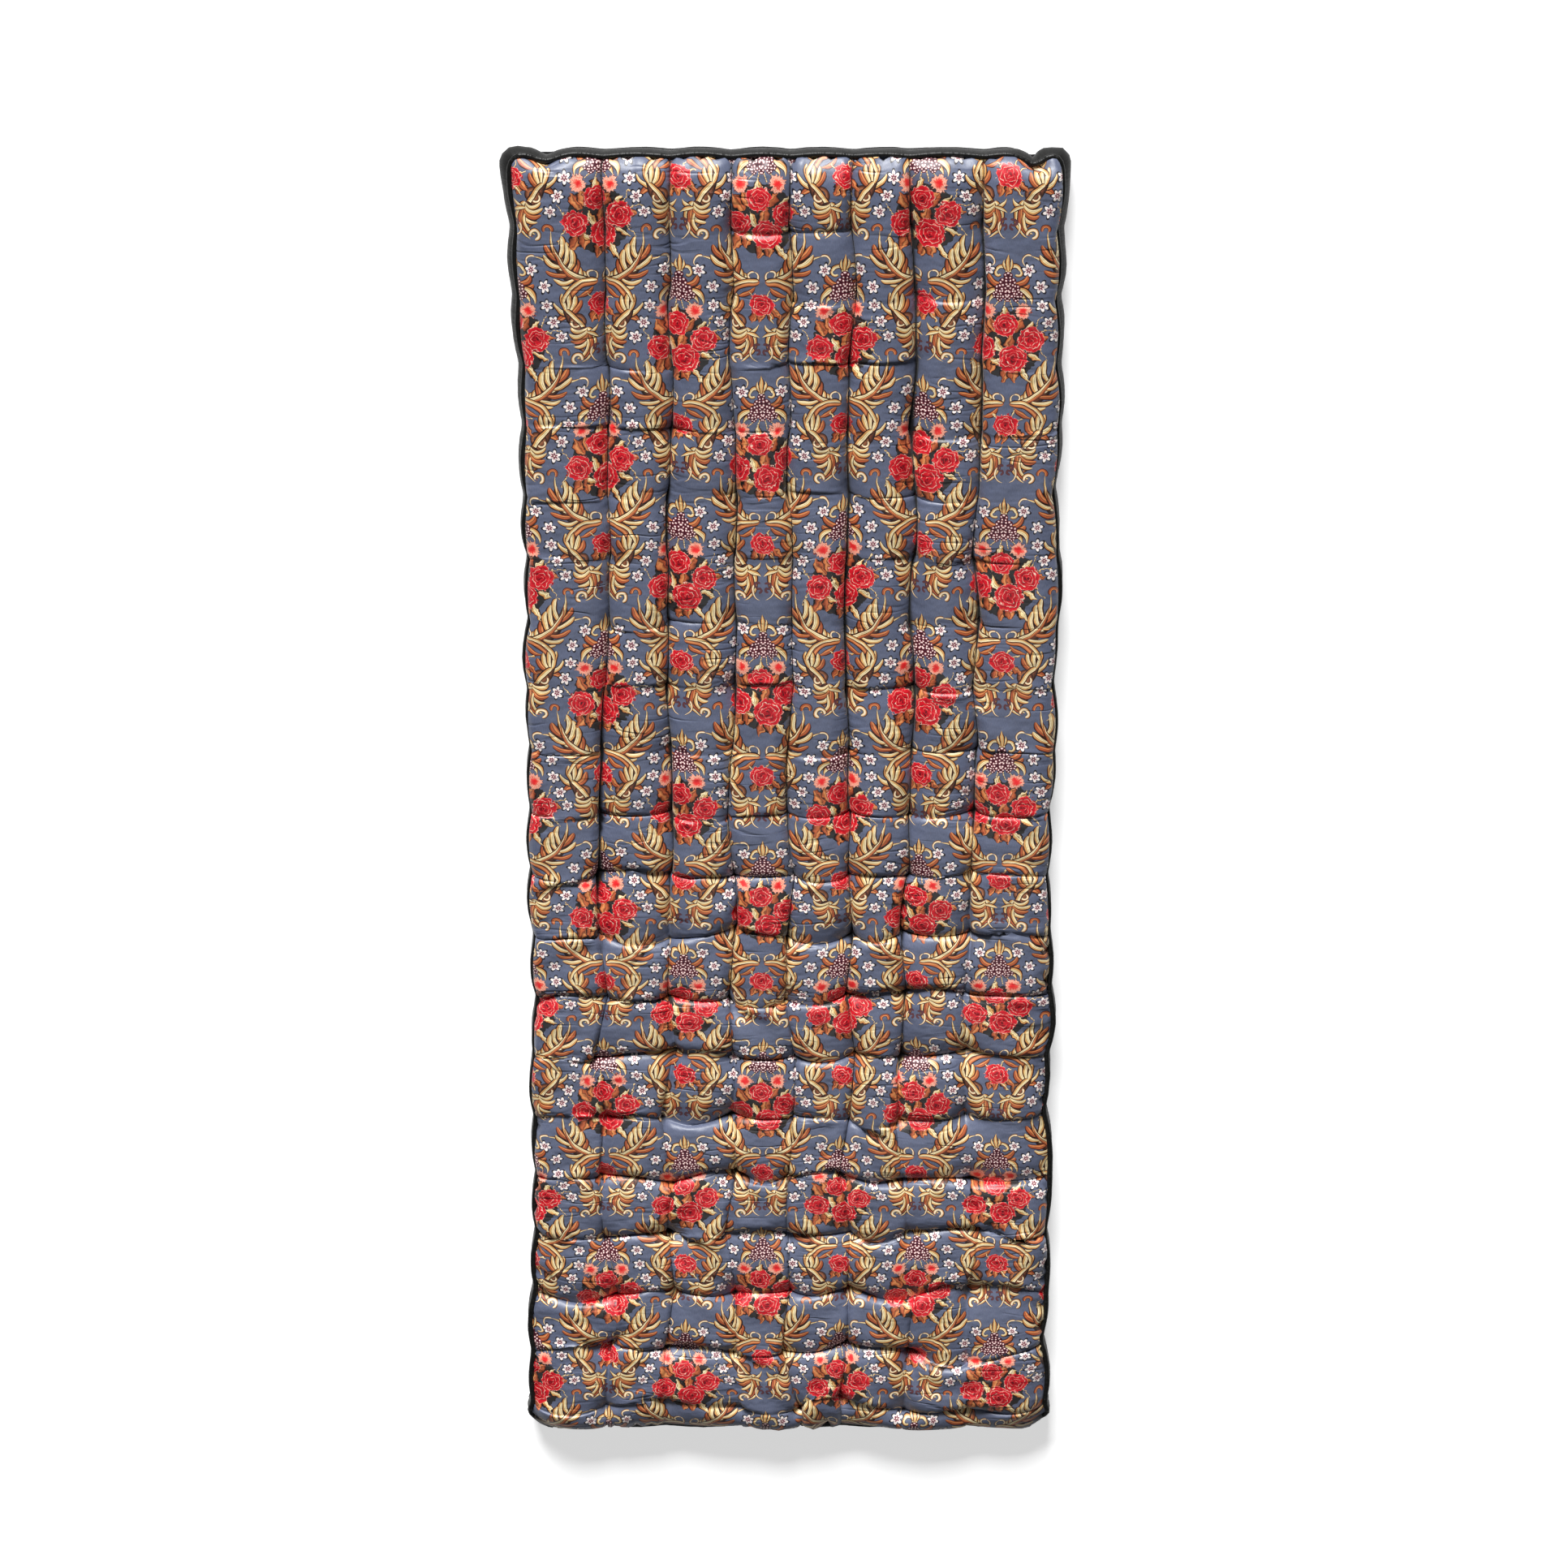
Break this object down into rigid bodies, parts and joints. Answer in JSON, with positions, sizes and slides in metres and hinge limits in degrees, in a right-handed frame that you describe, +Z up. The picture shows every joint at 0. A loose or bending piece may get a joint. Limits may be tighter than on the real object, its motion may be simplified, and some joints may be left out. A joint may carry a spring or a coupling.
{
  "type": "futon mattress",
  "caption": "Long hand-tufted floor mattress filled with cotton, with a floral sateen top, a black piped border and a fold across the middle.",
  "frame": {"origin": "middle of the underside, on the floor", "axes": "+Z up, +Y along the length to the head end, X across the width"},
  "size_m": [0.75, 1.9, 0.0731],
  "materials": {
    "printed_sateen": "satin",
    "border_sateen": "satin",
    "back_cloth": "matte",
    "cotton_batting": "matte",
    "tuft_twine": "matte"
  },
  "bodies": {
    "head_half": {"head_top_cover": "printed_sateen", "head_upper_batting": "cotton_batting", "head_core_batting": "cotton_batting", "head_lower_batting": "cotton_batting", "head_back_cover": "back_cloth", "head_left_border": "border_sateen", "head_right_border": "border_sateen", "head_end_border": "border_sateen", "head_top_piping": "border_sateen", "head_back_piping": "border_sateen", "head_tuft_ties": "tuft_twine"},
    "foot_half": {"foot_top_cover": "printed_sateen", "foot_upper_batting": "cotton_batting", "foot_core_batting": "cotton_batting", "foot_lower_batting": "cotton_batting", "foot_back_cover": "back_cloth", "foot_left_border": "border_sateen", "foot_right_border": "border_sateen", "foot_end_border": "border_sateen", "foot_top_piping": "border_sateen", "foot_back_piping": "border_sateen", "foot_tuft_ties": "tuft_twine"}
  },
  "joints": [
    {"name": "fold", "type": "hinge", "parent": "head_half", "child": "foot_half", "pos_m": [0, -0.02425, 0.074], "axis": [-1, 0, 0], "range_deg": [0, 180]}
  ]
}
